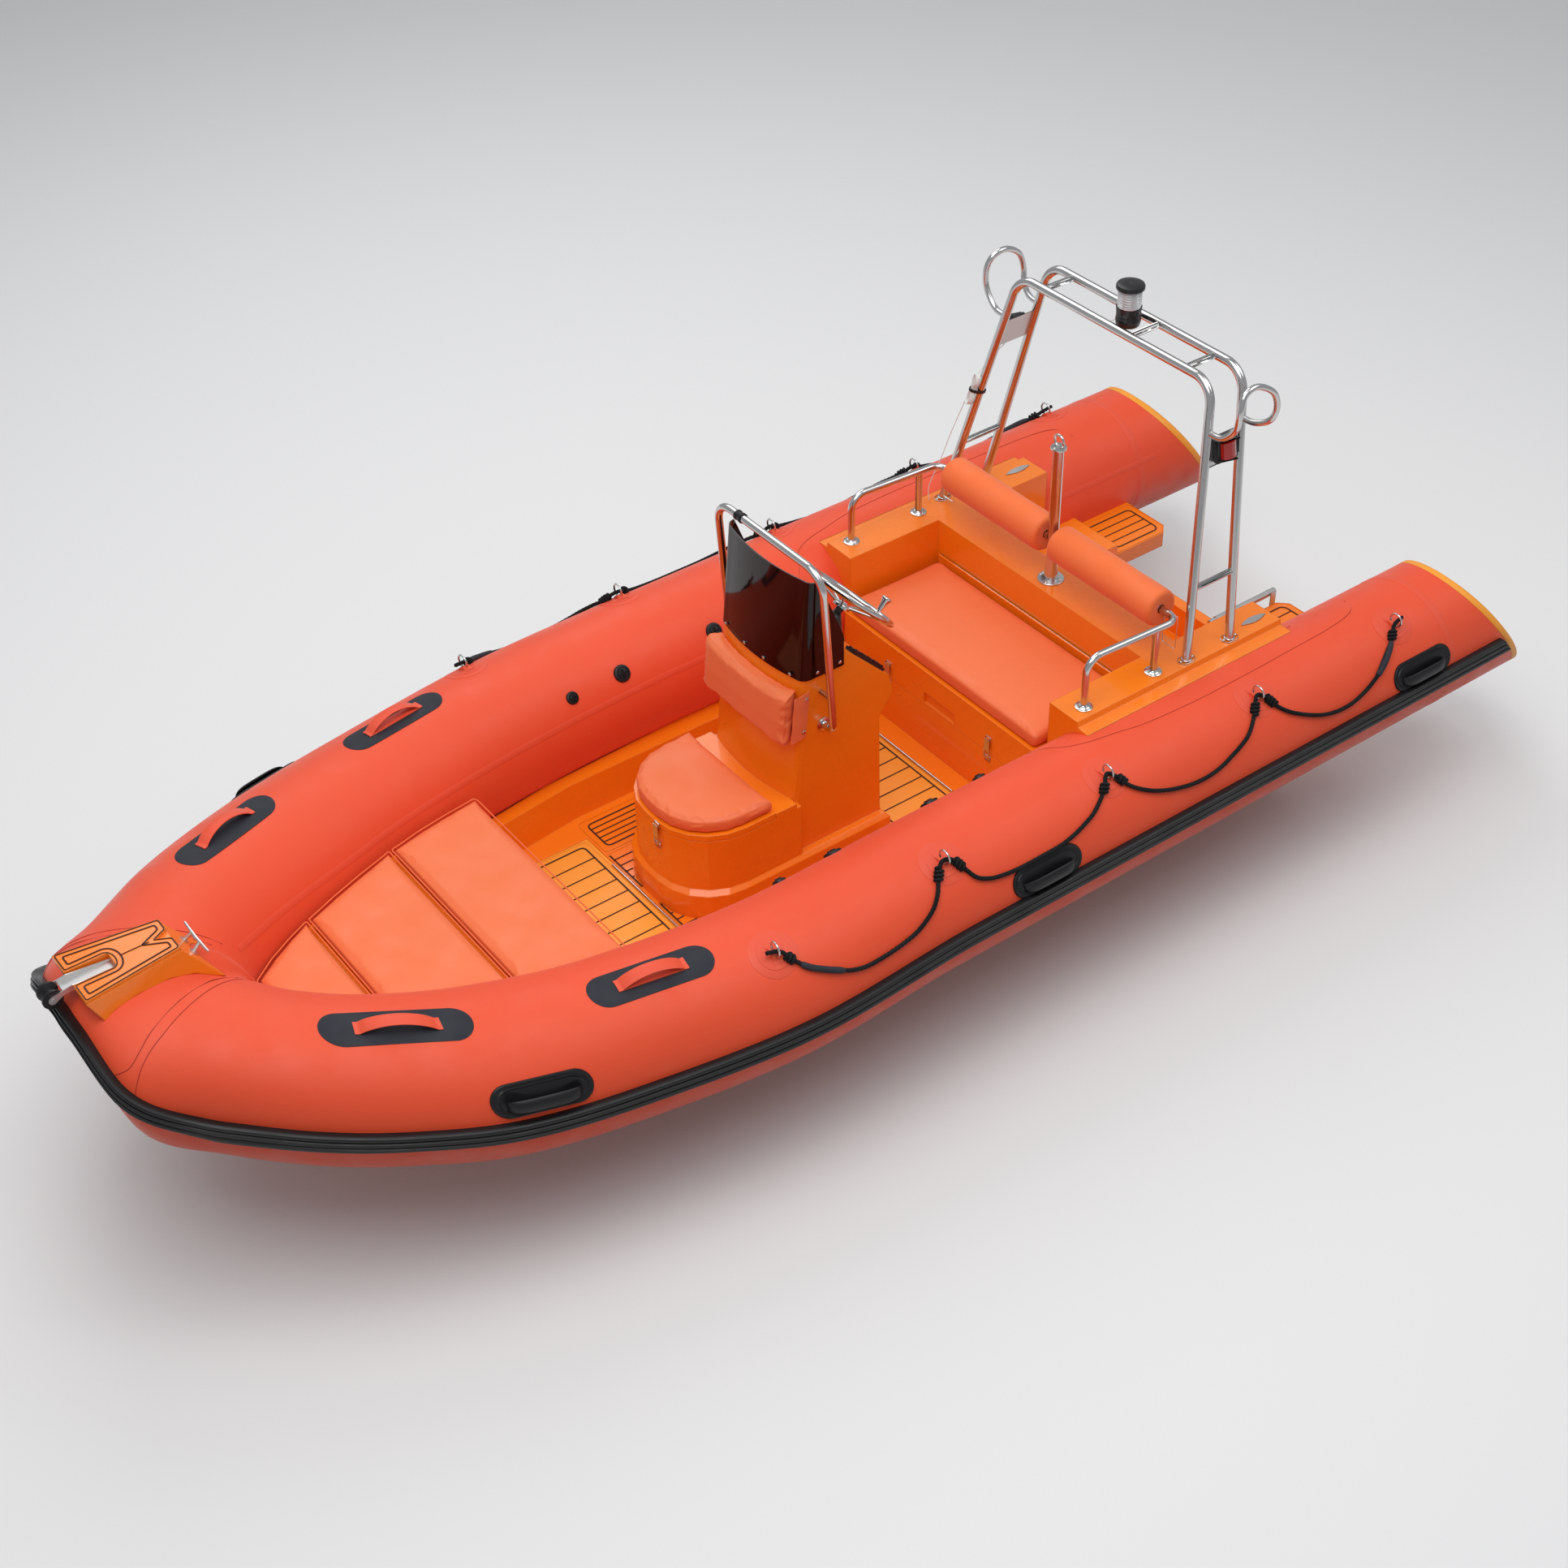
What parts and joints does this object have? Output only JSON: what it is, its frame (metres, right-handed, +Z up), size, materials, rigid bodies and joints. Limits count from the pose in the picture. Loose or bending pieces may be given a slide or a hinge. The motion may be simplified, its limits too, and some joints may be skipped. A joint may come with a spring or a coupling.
{
  "type": "rigid inflatable boat",
  "caption": "Small open boat with a rigid hull inside an inflated collar, with a console, hinged seats, roll bar and swim platforms.",
  "frame": {"origin": "under the middle of the boat, on the ground plane that the keel pad touches", "axes": "+X towards the stern, +Y towards starboard, +Z up"},
  "size_m": [5.0176, 2.0568, 1.8401],
  "materials": {
    "collar_fabric": "matte coated fabric",
    "gelcoat": "glossy moulded gelcoat",
    "gelcoat_tread": "satin moulded tread",
    "vinyl": "matte coated upholstery cloth",
    "foam": "cloth-covered foam",
    "rubber": "matte black",
    "black_plastic": "satin black",
    "stainless": "polished stainless steel",
    "smoked_acrylic": "smoked, polished",
    "clear_lens": "clear, polished",
    "red_lens": "red, polished",
    "green_lens": "green, polished",
    "rope": "braided black cord",
    "wire": "white wire sleeve"
  },
  "bodies": {
    "boat": {"bolster_port": "foam", "bolster_stbd": "foam", "bow_cleat": "stainless", "bow_cushion_aft": "vinyl", "bow_cushion_fore": "vinyl", "bow_cushion_mid": "vinyl", "bow_roller_bracket": "stainless", "bow_step": "gelcoat_tread", "console_backrest": "vinyl", "console_body": "gelcoat", "console_rail": "stainless", "deck_moulding": "gelcoat", "grab_line_port": "rope", "grab_line_stbd": "rope", "helm_bezel": "black_plastic", "hull": "gelcoat", "mast_light_base": "black_plastic", "mast_light_lens": "clear_lens", "nav_wire_hank": "wire", "nav_wire_lower": "wire", "nav_wire_upper": "wire", "pole_bracket": "stainless", "quarter_rail_port": "stainless", "quarter_rail_stbd": "stainless", "roll_bar": "stainless", "rub_strake": "rubber", "side_lamp_port": "black_plastic", "side_lamp_stbd": "black_plastic", "side_lens_port": "red_lens", "side_lens_stbd": "green_lens", "stern_moulding": "gelcoat", "swim_platform_port": "gelcoat_tread", "swim_platform_stbd": "gelcoat_tread", "switch_strip": "black_plastic", "tow_post": "stainless", "tube_collar": "collar_fabric", "tube_end_cap_port": "gelcoat_tread", "tube_end_cap_stbd": "gelcoat_tread", "windscreen": "smoked_acrylic"},
    "floor_hatch_fore": {"floor_hatch_fore": "gelcoat_tread"},
    "floor_hatch_aft": {"floor_hatch_aft": "gelcoat_tread"},
    "console_seat": {"console_seat_lid": "gelcoat", "console_seat_cushion": "vinyl"},
    "console_latch": {"console_latch": "stainless"},
    "bench_seat": {"bench_lid": "gelcoat", "bench_cushion": "vinyl"},
    "bench_latch_port": {"bench_latch_port": "stainless"},
    "bench_latch_stbd": {"bench_latch_stbd": "stainless"},
    "bow_roller": {"bow_roller": "rubber"},
    "steering_wheel": {"steering_wheel": "stainless"},
    "wheel_knob": {"wheel_knob": "stainless"},
    "stern_cleat_port": {"stern_cleat_port": "stainless"},
    "stern_cleat_stbd": {"stern_cleat_stbd": "stainless"},
    "stern_pole": {"stern_pole": "stainless"},
    "stern_pole_slide": {"stern_pole_slide": "stainless"},
    "rocker_switch_1": {"rocker_switch_1": "black_plastic"},
    "rocker_switch_2": {"rocker_switch_2": "black_plastic"},
    "rocker_switch_3": {"rocker_switch_3": "black_plastic"},
    "rocker_switch_4": {"rocker_switch_4": "black_plastic"},
    "rocker_switch_5": {"rocker_switch_5": "black_plastic"}
  },
  "joints": [
    {"name": "floor_hatch_fore_hinge", "type": "hinge", "parent": "boat", "child": "floor_hatch_fore", "pos_m": [-0.6005, 0, 0.294], "axis": [0, 1, 0], "range_deg": [0, 80]},
    {"name": "floor_hatch_aft_hinge", "type": "hinge", "parent": "boat", "child": "floor_hatch_aft", "pos_m": [0.511, 0, 0.294], "axis": [0, 1, 0], "range_deg": [0, 80]},
    {"name": "console_seat_hinge", "type": "hinge", "parent": "boat", "child": "console_seat", "pos_m": [-0.2545, 0, 0.6223], "axis": [0, 1, 0], "range_deg": [0, 75]},
    {"name": "bench_seat_hinge", "type": "hinge", "parent": "boat", "child": "bench_seat", "pos_m": [1.009, 0, 0.6803], "axis": [0, 1, 0], "range_deg": [0, 80]},
    {"name": "console_latch_hinge", "type": "hinge", "parent": "console_seat", "child": "console_latch", "pos_m": [-0.58, -0.04, 0.6133], "axis": [0, 1, 0], "range_deg": [0, 150]},
    {"name": "bench_latch_port_hinge", "type": "hinge", "parent": "bench_seat", "child": "bench_latch_port", "pos_m": [0.5785, -0.276, 0.536], "axis": [0, 1, 0], "range_deg": [0, 150]},
    {"name": "bench_latch_stbd_hinge", "type": "hinge", "parent": "bench_seat", "child": "bench_latch_stbd", "pos_m": [0.5785, 0.252, 0.536], "axis": [0, 1, 0], "range_deg": [0, 150]},
    {"name": "bow_roller_spin", "type": "hinge", "parent": "boat", "child": "bow_roller", "pos_m": [-2.479, 0, 0.987], "axis": [0, 1, 0], "continuous": true},
    {"name": "steering_wheel_turn", "type": "hinge", "parent": "boat", "child": "steering_wheel", "pos_m": [0.18493, 0, 1.08802], "axis": [0.7151, 0, 0.6991], "range_deg": [-675, 675]},
    {"name": "wheel_knob_spin", "type": "hinge", "parent": "steering_wheel", "child": "wheel_knob", "pos_m": [0.21338, -0.15954, 1.15518], "axis": [0.7151, 0, 0.6991], "continuous": true},
    {"name": "rocker_switch_1_rock", "type": "hinge", "parent": "boat", "child": "rocker_switch_1", "pos_m": [0.09211, -0.1869, 1.07137], "axis": [0.6991, 0, -0.7151], "range_deg": [-9, 9]},
    {"name": "rocker_switch_2_rock", "type": "hinge", "parent": "boat", "child": "rocker_switch_2", "pos_m": [0.11588, -0.1869, 1.04706], "axis": [0.6991, 0, -0.7151], "range_deg": [-9, 9]},
    {"name": "rocker_switch_3_rock", "type": "hinge", "parent": "boat", "child": "rocker_switch_3", "pos_m": [0.13965, -0.1869, 1.02275], "axis": [0.6991, 0, -0.7151], "range_deg": [-9, 9]},
    {"name": "rocker_switch_4_rock", "type": "hinge", "parent": "boat", "child": "rocker_switch_4", "pos_m": [0.16342, -0.1869, 0.99844], "axis": [0.6991, 0, -0.7151], "range_deg": [-9, 9]},
    {"name": "rocker_switch_5_rock", "type": "hinge", "parent": "boat", "child": "rocker_switch_5", "pos_m": [0.18719, -0.1869, 0.97413], "axis": [0.6991, 0, -0.7151], "range_deg": [-9, 9]},
    {"name": "stern_cleat_port_slide", "type": "slide", "parent": "boat", "child": "stern_cleat_port", "axis": [0, 0, 1], "range_m": [0, 0.035]},
    {"name": "stern_cleat_stbd_slide", "type": "slide", "parent": "boat", "child": "stern_cleat_stbd", "axis": [0, 0, 1], "range_m": [0, 0.035]},
    {"name": "stern_pole_hinge", "type": "hinge", "parent": "boat", "child": "stern_pole", "pos_m": [1.9013, -0.2685, 0.552], "axis": [0, 1, 0], "range_deg": [0, 180]},
    {"name": "stern_pole_extend", "type": "slide", "parent": "stern_pole", "child": "stern_pole_slide", "axis": [-1, 0, 0], "range_m": [0, 0.2]}
  ]
}
